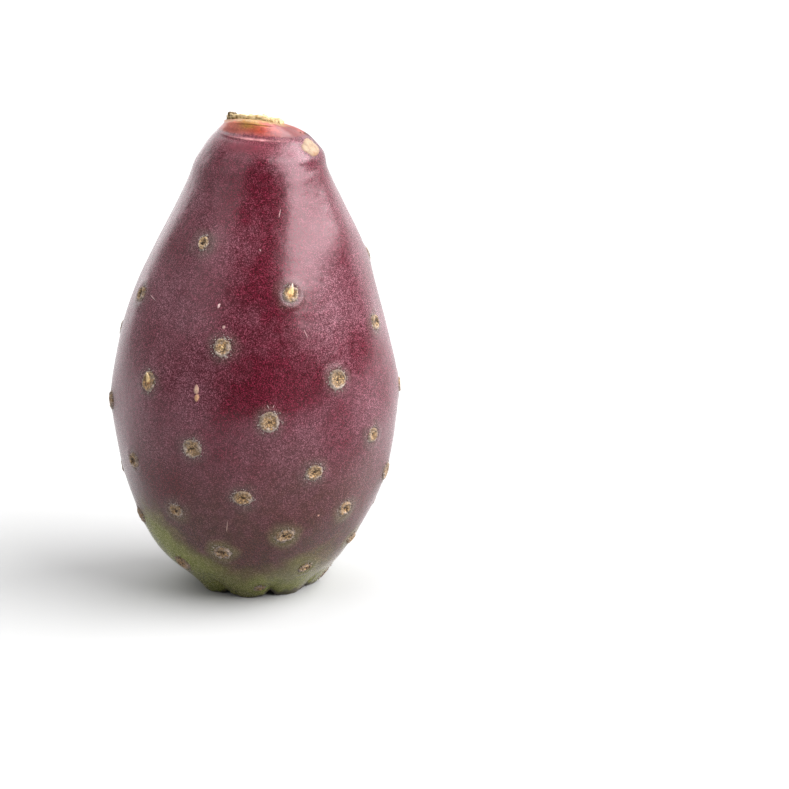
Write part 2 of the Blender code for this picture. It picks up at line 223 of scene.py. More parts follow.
def random_waves():
    """For each wave: its turns round the fruit, its turning a millimetre of height, and where it starts."""
    draw = random.Random(SEED)
    for _ in range(WAVES):
        turns = draw.randint(*WAVE_TURNS)
        climb = 2.0 * math.pi / draw.uniform(*WAVE_LENGTHS) * draw.choice((-1, 1))
        yield turns, climb, draw.uniform(0.0, 2.0 * math.pi)


SKIN_WAVES = tuple(random_waves())


def uneven(points, size):
    """Noise of about the given grain size, in millimetres, at each point."""
    flat = points.reshape(-1, 3) / size
    return np.array([noise.noise(Vector(p)) for p in flat]).reshape(points.shape[:-1])


def relief(points):
    """How far the real skin stands off the plain grown one, along its normal, in millimetres."""
    x, y, z = np.moveaxis(points, -1, 0)
    azimuth, radius = np.arctan2(x, -y), np.hypot(x, y)
    side = smoothstep(*WAVES_START, z) * fade(*WAVES_END, z)
    raised = sum(np.cos(turns * azimuth + climb * z + start) for turns, climb, start in SKIN_WAVES)
    raised = raised * WAVE_HEIGHT * side
    raised += UNEVEN_HEIGHT * uneven(points, UNEVEN_SIZE) * smoothstep(*UNEVEN_START, z)
    for centre in CENTRES.values():
        away = np.sqrt(((points - centre) ** 2).sum(-1))
        raised += RIM_HEIGHT * bell(away, RIM_RADIUS, RIM_WIDTH) - PAD_DIP * bell(away, 0.0, PAD_DIP_RADIUS)
    above = z - FILL_START
    fill = 0.5 * (above + np.hypot(above, FILL_SOFTNESS)) / FILL_GROWTH * fade(*FILL_END, z)
    fill += SHOULDER * bell(z, SHOULDER_LEVEL, SHOULDER_WIDTH) - DENT * bell(z, DENT_LEVEL, DENT_WIDTH)
    raised += NECK_FILL * turn_bell(azimuth, *NECK_TURN) * fill
    trim = turn_bell(azimuth, *TRIM_TURN) * bell(z, TRIM_LEVEL, TRIM_WIDTH)
    raised -= COLLAR_TRIM * trim * (radius > TRIM_BEYOND)
    lip = turn_bell(azimuth, *LIP_TURN) * (radius > FOLD_BEYOND)
    raised += lip * LIP_HEIGHT * bell(z, LIP_LEVEL, LIP_WIDTH)
    raised -= lip * CREASE_DEPTH * bell(z, CREASE_LEVEL, CREASE_WIDTH)
    return raised


def unit(vectors):
    return vectors / np.maximum(np.linalg.norm(vectors, axis=-1, keepdims=True), 1e-12)


def side_frame(azimuth, height, step=0.05):
    """(point, across, up, out) of the finished skin on the fruit's side, in millimetres."""
    here = plain(azimuth, girth(height), height)
    point = grown(here)
    above = grown(plain(azimuth, girth(height + step), height + step)) - point
    beside = grown(plain(azimuth + step / girth(height), girth(height), height)) - point
    up = unit(above)
    out = unit(np.cross(beside, above))
    return point + out * relief(here)[..., None], np.cross(up, out), up, out


def laid(azimuth, height, across, along, rise):
    """Points over the skin round one place: across and along it, and so far off it, in millimetres."""
    slope = girth(height + 0.5) - girth(height - 0.5)
    here_height = height + along / math.hypot(1.0, slope)
    point, _, _, out = side_frame(azimuth + across / girth(here_height), here_height)
    return point + out * rise[..., None]


class Shape:
    """Points in millimetres, faces, colours and named values gathered for one mesh."""

    def __init__(self, *named):
        self.points, self.faces, self.tints = [], [], []
        self.named = {name: [] for name in named}
        self.count = 0

    def add(self, points, faces, tints=None, **values):
        self.points.append(points)
        self.faces.extend((np.array(face) + self.count).tolist() for face in faces)
        self.tints.append(np.ones((len(points), 3)) if tints is None else tints)
        for name, store in self.named.items():
            store.append(np.broadcast_to(values[name], len(points)))
        self.count += len(points)

    def add_rings(self, rings, poles, tint, ends=None):
        """Adds closed rings with a pole at each end. The poles are tinted like the rings next to them."""
        ends = (tint[0].mean(0), tint[-1].mean(0)) if ends is None else ends
        points = np.vstack([rings.reshape(-1, 3), poles])
        self.add(points, ring_faces(*rings.shape[:2]), np.vstack([tint.reshape(-1, 3), ends]))

    def add_laid(self, place, offsets, pole_rises, tint, ends=None):
        """Adds rings that lie over the skin round a place, with a pole over it and one under it."""
        poles = laid(*place, np.zeros(2), np.zeros(2), np.array(pole_rises))
        self.add_rings(laid(*place, *offsets), poles, tint, ends)

    def piece(self, name, material, slot):
        mesh = bpy.data.meshes.new(name)
        points = np.vstack(self.points) * MM
        points[:, 2] = np.maximum(points[:, 2], 0.0)
        mesh.from_pydata(points.tolist(), [], self.faces)
        mesh.validate()
        tint = mesh.attributes.new("Tint", "FLOAT_COLOR", "POINT")
        colours = np.insert(np.vstack(self.tints), 3, 1.0, axis=1)
        tint.data.foreach_set("color", colours.astype(np.float32).ravel())
        for key, store in self.named.items():
            attribute = mesh.attributes.new(key, "FLOAT", "POINT")
            attribute.data.foreach_set("value", np.concatenate(store).astype(np.float32))
        mesh.shade_smooth()
        mesh.materials.append(material)
        obj = bpy.data.objects.new(name, mesh)
        bpy.context.scene.collection.objects.link(obj)
        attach(obj, "root")
        return obj


def ring_faces(rows, columns):
    """Faces between closed rings of points numbered row by row, with the two poles after them."""
    row, column = np.meshgrid(np.arange(rows - 1), np.arange(columns), indexing="ij")
    here = row * columns + column
    beside = row * columns + (column + 1) % columns
    faces = np.stack([here, here + columns, beside + columns, beside], -1).reshape(-1, 4).tolist()
    first, last = rows * columns, (rows - 1) * columns
    faces += [(first, i, (i + 1) % columns) for i in range(columns)]
    faces += [(first + 1, last + (i + 1) % columns, last + i) for i in range(columns)]
    return faces


def disc(rings, points):
    """Shares of a radius, from the innermost ring to the edge, and angles round it."""
    shares, angles = np.arange(1, rings + 1) / rings, np.arange(points) / points * 2 * math.pi
    return np.meshgrid(shares, angles, indexing="ij")


def ragged(points, *layers):
    """A factor near 1 that varies with each layer's (amount, grain size)."""
    return 1.0 + sum(amount * uneven(points, size) for amount, size in layers)


def outline_rows():
    """(radius, height) of each row of the skin mesh, from the stem end to the middle of the flower end."""
    outline = np.vstack([
        SEAT_PROFILE[:-1], spline(COLLAR_PROFILE, PROFILE_STEPS), spline(BODY_PROFILE, PROFILE_STEPS),
        spline(FOOT_PROFILE, PROFILE_STEPS), FOOT_PROFILE[-1:],
    ])
    lengths = np.linalg.norm(np.diff(outline, axis=0), axis=1)
    radius, height = ((outline[1:] + outline[:-1]) / 2).T
    spacing = np.where(radius < DIMPLE_RADIUS, DIMPLE_SPACING, FOOT_SPACING)
    spacing = np.where(height < FOOT_TOP, spacing, BODY_SPACING)
    for low, high, gap in ROW_SPACING:
        spacing = np.where((height >= low) & (height < high), gap, spacing)
    travelled = np.concatenate([[0.0], np.cumsum(lengths / spacing)])
    rows = np.linspace(0.0, travelled[-1], round(travelled[-1]) + 1)
    return np.stack([np.interp(rows, travelled, outline[:, i]) for i in (0, 1)], -1)


def mixed(first, second, share):
    share = np.asarray(share)[..., None]
    return np.asarray(first) * (1.0 - share) + np.asarray(second) * share


# Where the skin's colours lie. The green's edge rises by so much at each turn, and crimson is stronger by so
# much in each spot. A spot is an azimuth and its width in degrees, then a height and its width.
DRIFT_SIZE, FINE_SIZE, NOISE_SHIFT = 9.0, 2.5, 40.0
HAZE_RADII, HAZE_WANDER = (1.5, 3.8), 0.6
GREEN_LEVEL, GREEN_DRIFT, GREEN_FINE, GREEN_FADE = 8.5, 4.0, 2.0, (-5.0, 4.0)
GREEN_RISES = ((6.5, -62.0, 34.0), (4.5, 150.0, 60.0), (-4.5, 2.0, 15.0), (1.5, 28.0, 14.0))
GREEN_LEAST, GREEN_TURN = 0.50, (-65.0, 50.0)
PAD_GREEN, PAD_GREEN_FADE = 0.36, (12.0, 22.0)
LOBE_GREEN, LOBE_GREEN_FADE, LOBE_GREEN_FINE = 0.85, (2.5, 9.5), 1.5
EARTH_FADE, EARTH_DRIFT = (11.0, 38.0), 5.0
CRIMSON_LEVEL, CRIMSON_DRIFT, CRIMSON_TOP, CRIMSON_TOP_START = 0.40, 0.8, 0.06, (56.0, 70.0)
CRIMSON_FRONT, CRIMSON_TURN, CRIMSON_START = 0.57, (12.0, 25.0), (30.0, 47.0)
CRIMSON_SPOTS = (
    (0.25, 8.0, 15.0, 52.0, 10.0), (-0.40, -60.0, 30.0, 42.0, 20.0), (0.45, -42.0, 14.0, 24.0, 5.0),
)


def spot(azimuth, height, turn, turn_width, level, level_width):
    return turn_bell(azimuth, turn, turn_width) * bell(height, level, level_width)


def skin_marks(points):
    """Named values from 0 to 1 that say where the skin's colours lie."""
    x, y, z = np.moveaxis(points, -1, 0)
    azimuth = np.arctan2(x, -y)
    drift, fine = uneven(points, DRIFT_SIZE), uneven(points + NOISE_SHIFT, FINE_SIZE)
    haze = np.zeros_like(z)
    for centre in CENTRES.values():
        away = np.sqrt(((points - centre) ** 2).sum(-1)) + HAZE_WANDER * fine
        haze = np.maximum(haze, fade(*HAZE_RADII, away))
    green_top = GREEN_LEVEL + GREEN_DRIFT * drift + GREEN_FINE * fine
    green_top = green_top + sum(rise * turn_bell(azimuth, *turn) for rise, *turn in GREEN_RISES)
    green = GREEN_LEAST + (1.0 - GREEN_LEAST) * turn_bell(azimuth, *GREEN_TURN)
    green = green * fade(*GREEN_FADE, z - green_top)
    green = np.maximum(green, PAD_GREEN * haze * fade(*PAD_GREEN_FADE, z))
    green = np.maximum(green, LOBE_GREEN * fade(*LOBE_GREEN_FADE, z + LOBE_GREEN_FINE * fine))
    crimson = CRIMSON_LEVEL + CRIMSON_DRIFT * drift + CRIMSON_TOP * smoothstep(*CRIMSON_TOP_START, z)
    crimson += CRIMSON_FRONT * turn_bell(azimuth, *CRIMSON_TURN) * smoothstep(*CRIMSON_START, z)
    crimson += sum(amount * spot(azimuth, z, *place) for amount, *place in CRIMSON_SPOTS)
    return {
        "Haze": haze,
        "Green": green,
        "Earth": fade(*EARTH_FADE, z + EARTH_DRIFT * drift),
        "Crimson": np.clip(crimson, 0.0, 1.0),
    }


# Colours round the stem end and along the foot's bottom edge, as linear reflectances, and where they lie
DOME_PURPLE, DOME_RED, DOME_PINK = (0.370, 0.090, 0.066), (0.350, 0.045, 0.024), (0.118, 0.014, 0.011)
DOME_OCHRE, DOME_YELLOW, DOME_CREAM = (0.270, 0.125, 0.020), (0.350, 0.180, 0.035), (0.320, 0.200, 0.090)
# The lip's pale pink is a painted highlight, and the dark crimson under the lip is painted shade.
DOME_ROSE, LIP_HIGHLIGHT_PINK, UNDER_LIP_SHADE = (0.480, 0.150, 0.090), (0.520, 0.230, 0.235), (0.110, 0.005, 0.016)
RED_SPOT, ROSE_SPOT, ROSE_SHARE = (9.0, 22.0, 84.3, 0.70), (-52.0, 24.0, 85.1, 0.5), 0.7
PINK_TURN, PINK_SHARE, PINK_GRAIN = (54.0, 30.0), 1.2, 0.5
OCHRE_TURN, OCHRE_FROM = (-14.0, 14.0), (84.05, 84.6)
YELLOW_SPOT, YELLOW_CLIMB = (3.0, 14.0, 85.15, 0.17), 0.022
CREAM_TURN, CREAM_LEAST, CREAM_FROM, SEAT_EDGE = (15.0, 70.0), 0.45, (85.05, 85.35), 5.25
DOME_SHADE, DOME_SHADE_FROM = 0.70, (83.7, 84.5)
DOME_TURN, DOME_LEAST, DOME_FROM, DOME_TOP = (-5.0, 90.0), 0.60, (83.75, 84.1), (85.0, 85.3)
# Where the painted shade under the lip and the painted highlight along the lip lie.
UNDER_LIP_SHADE_SPOT, UNDER_LIP_SHADE_SHARE, LIP_HIGHLIGHT_SPOT = (-22.0, 36.0, 82.4, 1.1), 0.75, (-10.0, 44.0, LIP_LEVEL, 0.13)
NECK_BOTTOM, HALFWAY_UP = 74.0, 40.0
# Painted contact shade: a near-black tint along the foot's bottom edge where it meets the floor, rising on the
# right front lobe, and where it lies.
FOOT_CONTACT_SHADE, CONTACT_SHADE_SHARE, CONTACT_SHADE_LEVEL, CONTACT_SHADE_FADE = (0.030, 0.026, 0.012), 0.85, 0.50, (-0.25, 0.30)
CONTACT_SHADE_RISE, CONTACT_SHADE_TURN = 0.9, (38.0, 22.0)


def painted(points):
    """Colours of the collar, the painted highlight on its lip, the painted shade under the lip and the painted
    contact shade along the foot's bottom edge, and how far they cover the skin's own.
    """
    x, y, z = np.moveaxis(points, -1, 0)
    azimuth = np.arctan2(x, -y)
    fine, coarse = uneven(points + NOISE_SHIFT, 0.7), uneven(points, 2.2)
    outside = np.hypot(x, y) > SEAT_EDGE
    level = z + 0.25 * coarse
    tint = mixed(DOME_PURPLE, DOME_RED, spot(azimuth, level, *RED_SPOT))
    pink = PINK_SHARE * turn_bell(azimuth, *PINK_TURN) + PINK_GRAIN * fine * outside
    tint = mixed(tint, DOME_PINK, np.clip(pink, 0.0, 1.0))
    tint = mixed(tint, DOME_ROSE, ROSE_SHARE * spot(azimuth, level, *ROSE_SPOT))
    tint = mixed(tint, DOME_OCHRE, turn_bell(azimuth, *OCHRE_TURN) * smoothstep(*OCHRE_FROM, level))
    tint = tint * (DOME_SHADE + (1.0 - DOME_SHADE) * smoothstep(*DOME_SHADE_FROM, level))[..., None]
    tint = mixed(tint, DOME_YELLOW, spot(azimuth, level + YELLOW_CLIMB * np.degrees(azimuth), *YELLOW_SPOT))
    cream = CREAM_LEAST + (1.0 - CREAM_LEAST) * turn_bell(azimuth, *CREAM_TURN)
    tint = mixed(tint, DOME_CREAM, cream * smoothstep(*CREAM_FROM, z + 0.25 * fine))
    tint = mixed(tint, DOME_CREAM, 1.0 * ~outside)
    cover = DOME_LEAST + (1.0 - DOME_LEAST) * turn_bell(azimuth, *DOME_TURN)
    cover = np.maximum(cover * smoothstep(*DOME_FROM, z + 0.12 * fine), smoothstep(*DOME_TOP, z))
    # Painted shade under the lip of the fold.
    under = outside * UNDER_LIP_SHADE_SHARE * spot(azimuth, z, *UNDER_LIP_SHADE_SPOT)
    # Painted highlight along the lip of the fold.
    lip = outside * spot(azimuth, z, *LIP_HIGHLIGHT_SPOT) * np.clip(0.9 + 0.8 * coarse, 0.0, 1.0)
    tint = mixed(mixed(tint, UNDER_LIP_SHADE, 1.0 * (cover < under)), LIP_HIGHLIGHT_PINK, lip)
    cover = np.maximum(np.maximum(cover, under), lip) * (z > NECK_BOTTOM)
    # Painted contact shade along the foot's bottom edge.
    edge = z - CONTACT_SHADE_LEVEL - CONTACT_SHADE_RISE * turn_bell(azimuth, *CONTACT_SHADE_TURN) + 0.5 * fine
    tint = np.where((z > HALFWAY_UP)[..., None], tint, FOOT_CONTACT_SHADE)
    return tint, np.maximum(cover, CONTACT_SHADE_SHARE * fade(*CONTACT_SHADE_FADE, edge))


def make_skin(material):
    rows = outline_rows()
    azimuth = np.linspace(-math.pi, math.pi, SKIN_SEGMENTS, endpoint=False)
    points = plain(azimuth[None, :], rows[:, :1], rows[:, 1:])
    base = grown(points)
    down = np.gradient(base, axis=0)
    round_it = np.roll(base, -1, axis=1) - np.roll(base, 1, axis=1)
    out = unit(np.cross(down, round_it))
    finished = base + out * relief(points)[..., None]
    finished[[0, -1]] = base[[0, -1]]

    def flat(grid):
        """The rows of points between the two poles, then the poles."""
        return np.concatenate([grid[1:-1].reshape(-1, *grid.shape[2:]), grid[[0, -1], 0]])

    values = skin_marks(points)
    tints, values["Painted"] = painted(points)
    shape = Shape(*values)
    values = {name: flat(grid) for name, grid in values.items()}
    shape.add(flat(finished), ring_faces(len(rows) - 2, SKIN_SEGMENTS), flat(tints), **values)
    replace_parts(shape.piece("skin", material, "skin"), "fruit")


# Areole pads: rings from the middle to the edge, points round them, the heights of their parts in
# millimetres, and where those parts lie as shares of the way to the edge
PAD_RINGS, PAD_POINTS, PAD_SCALE, PAD_EDGE = 24, 54, 1.12, ((0.10, 0.8), (0.07, 0.25))
PAD_PROUD, PAD_SINK, PAD_BOTTOM, PAD_LEAST = 0.34, 0.16, 0.55, 0.05
PAD_SLOPE, PAD_SKIRT, PAD_INSIDE = (0.70, 1.0), (0.80, 1.0), 0.82
FELT_RING, FELT_RING_SHARE, FELT_RING_WIDTH = 0.07, 0.70, 0.17
CRATER_DEPTH, CRATER_EDGE, PIT_DEPTH, PIT_SCALE, PIT_EDGE = 0.12, (0.30, 0.62), 0.30, 1.15, (0.55, 1.15)
CRACK_DEPTH, CRACK_EDGE = 0.09, (0.62, 0.80)
GRAIN_SIZES, LUMPS, LUMPS_EDGE = (0.55, 0.24, 0.12), (0.10, 0.055, 0.03), (0.85, 1.0)
# The felt, and a darker copy of it for painted shade: the pads' felt is painted lighter towards their lower
# side.
FELT, SHADED_FELT = (0.240, 0.192, 0.168), (0.120, 0.085, 0.059)
TAN, OCHRE = (0.325, 0.228, 0.130), (0.275, 0.162, 0.072)
BROWN, PIT = (0.140, 0.085, 0.045), (0.040, 0.021, 0.011)

# Each photographed areole: half width, half height, turn in degrees, pit half sizes and turn, felt share,
# and how ochre it is. The others draw theirs.
LOOKS = {
    -16: (0.95, 1.25, 10, 0.30, 0.40, 0, 0.35, 0.1),
    -13: (1.40, 1.45, 0, 0.26, 0.30, 40, 0.55, 0.8),
    -11: (1.30, 1.30, 0, 0.42, 0.85, 0, 0.55, 0.2),
    -10: (1.45, 1.35, 0, 0.85, 0.70, 20, 0.55, 0.1),
    -8: (1.50, 1.60, 0, 0.30, 0.24, 20, 0.75, 0.35),
    -3: (1.50, 1.75, 0, 0.28, 0.40, 0, 0.60, 0.8),
    -5: (1.70, 1.75, 0, 0.35, 0.30, 30, 0.85, 0.25),
    0: (1.75, 1.75, 0, 0.32, 0.26, -20, 0.85, 0.5),
    5: (1.75, 1.65, 0, 0.55, 0.24, 8, 0.85, 0.2),
    10: (1.60, 1.35, 30, 0.75, 0.60, 35, 0.60, 0.3),
    8: (1.60, 1.40, 15, 0.62, 0.28, 30, 0.80, 0.4),
    13: (1.75, 1.35, -8, 0.60, 0.24, -12, 0.70, 0.6),
    16: (1.45, 1.35, 0, 0.60, 0.55, 0, 0.50, 0.5),
    18: (1.45, 1.25, -10, 0.55, 0.40, -20, 0.65, 0.1),
    21: (1.75, 1.25, 14, 0.70, 0.30, 12, 0.65, 0.3),
    24: (1.40, 1.10, 0, 0.60, 0.40, 0, 0.35, 0.1),
    26: (1.60, 1.35, -8, 0.50, 0.36, -10, 0.80, 0.3),
    29: (1.25, 0.75, 20, 0.85, 0.36, 20, 0.15, 0.0),
    34: (0.95, 0.60, 0, 0.60, 0.30, 0, 0.15, 0.0),
}


def areole_look(number, draw):
    look = (
        draw.uniform(1.35, 1.75), draw.uniform(1.25, 1.6), draw.uniform(-30, 30), draw.uniform(0.3, 0.65),
        draw.uniform(0.24, 0.45), draw.uniform(-50, 50), draw.uniform(0.45, 0.85), draw.uniform(0.1, 0.6),
    )
    return LOOKS.get(number, look)


def turned_by(first, second, degrees):
    turn = math.radians(degrees)
    return first * math.cos(turn) - second * math.sin(turn), first * math.sin(turn) + second * math.cos(turn)


def at_level(x, y, level):
    return np.stack([x, y, np.full_like(x, level)], -1)


def add_pad(shape, number, look):
    """Felted cushion of an areole: a raised ring of felt round a lumpy tan middle with a dark pit."""
    wide, tall, turn, pit_wide, pit_tall, pit_turn, felt_share, ochre_share = look
    wide, tall = PAD_SCALE * wide, PAD_SCALE * tall
    share, angle = disc(PAD_RINGS, PAD_POINTS)
    offset = 17.0 * number
    edge = share * ragged(at_level(np.cos(angle), np.sin(angle), offset), *PAD_EDGE)
    across, along = turned_by(edge * wide * np.cos(angle), edge * tall * np.sin(angle), turn)
    coarse, middle, fine = (uneven(at_level(across, along, offset), size) for size in GRAIN_SIZES)
    pit_x, pit_y = turned_by(across, along, -pit_turn)
    pit = np.hypot(pit_x / pit_wide, pit_y / pit_tall) / PIT_SCALE + 0.7 * middle
    pitted = fade(*PIT_EDGE, pit)
    cracks = smoothstep(0.0, 0.14, 0.10 - np.abs(coarse + 0.4 * fine)) * smoothstep(-0.2, 0.1, middle)
    cracks = cracks * fade(*CRACK_EDGE, share)
    rise = PAD_PROUD * fade(*PAD_SLOPE, share) - PAD_SINK * smoothstep(*PAD_SKIRT, share)
    rise += FELT_RING * bell(share, FELT_RING_SHARE, FELT_RING_WIDTH)
    rise -= CRATER_DEPTH * fade(*CRATER_EDGE, share) + PIT_DEPTH * pitted + CRACK_DEPTH * cracks
    rise += (LUMPS[0] * coarse + LUMPS[1] * middle + LUMPS[2] * fine) * fade(*LUMPS_EDGE, share)
    rise = np.where(share < PAD_INSIDE, np.maximum(rise, PAD_LEAST), rise)
    felt = smoothstep(0.55, 0.85, share + 0.5 * coarse + 0.3 * middle - 0.2 + 0.3 * felt_share)
    # Painted light: the felt is lighter towards the pad's lower side and darker towards its upper side.
    lit = smoothstep(-0.75, 0.55, -along / tall + 0.9 * coarse)
    lumps = smoothstep(-0.22, 0.18, 0.6 * coarse + middle)
    tint = mixed(BROWN, mixed(TAN, OCHRE, np.clip(ochre_share + 1.2 * middle, 0, 1)), lumps)
    tint = mixed(tint, mixed(SHADED_FELT, FELT, lit), felt * (0.5 + 0.5 * felt_share))
    tint = mixed(tint, PIT, np.maximum(0.9 * pitted, 0.85 * cracks))
    tint = tint * np.clip(1.0 + 1.0 * fine + 0.9 * middle, 0.25, 1.6)[..., None]
    shape.add_laid(PLACES[number], (across, along, rise), (rise[0].mean(), -PAD_BOTTOM), tint)


def axes_at(number, across=0.0, along=0.0):
    azimuth, height = PLACES[number]
    height = height + along
    return side_frame(np.array(azimuth + across / girth(height)), np.array(height))


def add_spike(shape, root, tip, radius, tint, bend, sides=3, rings=3):
    """A thin taper from root to tip, bowed sideways by bend."""
    root, tip, bend = (np.asarray(value, float) for value in (root, tip, bend))
    along = unit(tip - root)
    first = unit(np.cross(along, (0.3, 0.5, 0.8)))
    second = np.cross(along, first)
    angle = np.arange(sides) / sides * 2 * math.pi
    circle = first * np.cos(angle)[:, None] + second * np.sin(angle)[:, None]
    steps = np.arange(rings) / rings
    spine = root + (tip - root) * steps[:, None] + bend * (4 * steps * (1 - steps))[:, None]
    points = spine[::-1, None] + circle[None] * (radius * (1 - steps[::-1] * 0.8))[:, None, None]
    points = np.vstack([points.reshape(-1, 3), tip, root - along * radius])
    shape.add(points, ring_faces(rings, sides), np.broadcast_to(tint, points.shape))


# Crumbs and bristles: how many on any pad and how many more on the most felted, where they stand as shares
# of the way to the pad's edge, and their sizes in millimetres
CREAM, WHITE_HAIR, STRAW = (0.34, 0.285, 0.260), (0.42, 0.355, 0.330), (0.30, 0.21, 0.12)
CRUMBS, CRUMB_PLACE, CRUMB_SIZE, CRUMB_LENGTH = (34, 40), (0.62, 1.28, 0.86), (0.06, 0.15), 2.6
CRUMB_LIFT, CRUMB_LIFT_EDGE, CRUMB_SINK = 0.20, (0.75, 1.0), 0.02
BRISTLES, BRISTLE_PLACE, BRISTLE_LENGTH = (5, 9), (0.15, 0.85), (0.45, 1.0)
BRISTLE_RADIUS, BRISTLE_BOW = 0.035, 0.08


def add_fuzz(shape, number, look, draw):
    """Crumbs of felt round a pad's edge and short bristles that stand out of it."""
    wide, tall, turn, _, _, _, felt_share, _ = look
    wide, tall = PAD_SCALE * wide, PAD_SCALE * tall

    def stand(angle, away):
        across, along = turned_by(wide * away * math.cos(angle), tall * away * math.sin(angle), turn)
        return axes_at(number, across, along)

    for _ in range(round(CRUMBS[0] + CRUMBS[1] * felt_share)):
        angle, away = draw.uniform(0.0, 2 * math.pi), draw.triangular(*CRUMB_PLACE)
        point, side, up, out = stand(angle, away)
        size = draw.uniform(*CRUMB_SIZE) * (1.45 - away * 0.6)
        lean = side * draw.uniform(-1, 1) + up * draw.uniform(-1, 1) + out * draw.uniform(0.1, 0.7)
        root = point + out * (CRUMB_LIFT * fade(*CRUMB_LIFT_EDGE, away) - CRUMB_SINK)
        tint = mixed(FELT, CREAM, draw.uniform(0.0, 1.0)) * draw.uniform(0.75, 1.15)
        add_spike(shape, root, root + unit(lean) * size * CRUMB_LENGTH, size, tint, (0, 0, 0), 4, 2)
    for _ in range(round(BRISTLES[0] + BRISTLES[1] * felt_share)):
        angle, away = draw.uniform(0.0, 2 * math.pi), draw.uniform(*BRISTLE_PLACE)
        point, side, up, out = stand(angle, away)
        lean = side * math.cos(angle) + up * math.sin(angle) + out * draw.uniform(0.7, 1.8)
        length = draw.uniform(*BRISTLE_LENGTH)
        bow = unit(side * draw.uniform(-1, 1) + up * draw.uniform(-1, 1)) * length * BRISTLE_BOW
        tint = mixed(STRAW, WHITE_HAIR, draw.uniform(0.2, 1.0))
        add_spike(shape, point, point + unit(lean) * length, BRISTLE_RADIUS, tint, bow)


# Dry scales: areole, length, half width, half thickness, lift off the skin and sideways lean in degrees
SCALES = {
    -13: (2.1, 0.66, 0.44, 32, 6), -3: (1.9, 0.66, 0.38, 26, -4), 7: (1.7, 0.6, 0.34, 34, 10),
    17: (1.5, 0.55, 0.32, 36, -12), 27: (1.4, 0.5, 0.30, 30, 5), -8: (0.75, 0.30, 0.24, 70, 0),
}
SCALE_RINGS, SCALE_POINTS, SCALE_ROUGH = 16, 18, ((0.28, 0.9), (0.12, 0.35))
SCALE_BROWN, SCALE_TAN = (0.33, 0.15, 0.05), (0.60, 0.42, 0.20)
SCALE_TIP, PINK_TIP, PINK_TIPPED = (0.68, 0.52, 0.31), (0.74, 0.56, 0.50), -13


def add_scale(shape, number):
    """Dry leaf scale: a flat, pointed, slightly bowed tongue on a swollen base."""
    length, wide, thick, lift, lean = SCALES[number]
    point, side, up, out = axes_at(number)
    lift, lean = math.radians(lift), math.radians(lean)
    along = unit(up * math.cos(lift) * math.cos(lean) + side * math.sin(lean) + out * math.sin(lift))
    first = unit(np.cross(along, out))
    second = np.cross(first, along)
    share, angle = disc(SCALE_RINGS, SCALE_POINTS)
    share = 1.0 - share
    place = np.stack([np.cos(angle), np.sin(angle), share * 4 + number], -1)
    swell = np.sqrt(np.maximum(1.0 - share ** 2, 0.0)) * (1.0 - 0.45 * smoothstep(0.15, 0.9, share))
    swell = (swell * ragged(place, *SCALE_ROUGH))[..., None]
    bow = 0.14 * length * np.sin(share * math.pi * 0.9)
    spread = swell * (first * (wide * np.cos(angle))[..., None] + second * (thick * np.sin(angle))[..., None])
    points = point + along * ((share * 1.15 - 0.15) * length)[..., None] + spread - out * bow[..., None] * 0.4
    tint = mixed(SCALE_BROWN, SCALE_TAN, smoothstep(0.05, 0.4, share + 0.2 * uneven(place, 0.5)))
    tint = mixed(tint, PINK_TIP if number == PINK_TIPPED else SCALE_TIP, smoothstep(0.55, 0.95, share))
    tint = tint * ragged(place, (0.35, 0.3))[..., None]
    shape.add_rings(points, [point + along * (1.02 * length), point - along * (0.2 * length)], tint)


def make_areoles(pad_material, fuzz_material):
    draw = random.Random(SEED)
    pads, fuzz, scales = Shape(), Shape(), Shape()
    for number in AREOLES:
        look = areole_look(number, draw)
        add_pad(pads, number, look)
        add_fuzz(fuzz, number, look, draw)
    for number in SCALES:
        add_scale(scales, number)
    pads.piece("areole_pads", pad_material, "skin")
    fuzz.piece("areole_bristles", fuzz_material, "skin")
    scales.piece("dry_scales", pad_material, "skin")


# Healed marks: azimuth in degrees, height, half width, half length, turn in degrees, how proud,
# and the colours of the middle and the edge
MARKS = (
    (-21.4, 42.40, 0.62, 1.00, 4, 0.20, (0.40, 0.26, 0.19), (0.20, 0.08, 0.08)),
    (-21.1, 41.05, 0.56, 0.78, -12, 0.22, (0.36, 0.20, 0.11), (0.22, 0.09, 0.07)),
    (-15.3, 56.75, 0.32, 0.60, -12, 0.06, (0.48, 0.33, 0.32), (0.26, 0.10, 0.12)),
    (-11.6, 53.35, 0.40, 0.40, 0, 0.06, (0.32, 0.20, 0.18), (0.20, 0.09, 0.10)),
    (30.9, 18.43, 0.28, 0.24, 0, 0.05, (0.48, 0.26, 0.20), (0.34, 0.18, 0.14)),
    (16.0, 71.7, 0.09, 1.25, -16, 0.03, (0.50, 0.32, 0.32), (0.34, 0.18, 0.20)),
    (24.9, 51.8, 0.08, 1.30, 22, 0.03, (0.40, 0.24, 0.24), (0.28, 0.14, 0.16)),
    (-10.6, 17.2, 0.08, 1.90, -9, 0.03, (0.46, 0.30, 0.26), (0.30, 0.18, 0.16)),
    (-55.4, 56.3, 0.08, 1.70, 72, 0.03, (0.44, 0.30, 0.30), (0.30, 0.18, 0.19)),
    (7.5, 39.9, 0.08, 0.55, 24, 0.03, (0.44, 0.34, 0.32), (0.30, 0.18, 0.18)),
    (9.6, 39.9, 0.07, 0.45, -28, 0.03, (0.44, 0.34, 0.32), (0.30, 0.18, 0.18)),
    (3.0, 66.0, 0.10, 0.40, 30, 0.03, (0.50, 0.32, 0.32), (0.34, 0.18, 0.20)),
    (87.0, 84.0, 0.42, 0.30, 10, 0.14, (0.050, 0.028, 0.018), (0.14, 0.07, 0.05)),
    (78.0, 84.3, 0.26, 0.20, 40, 0.10, (0.060, 0.034, 0.020), (0.16, 0.08, 0.05)),
)
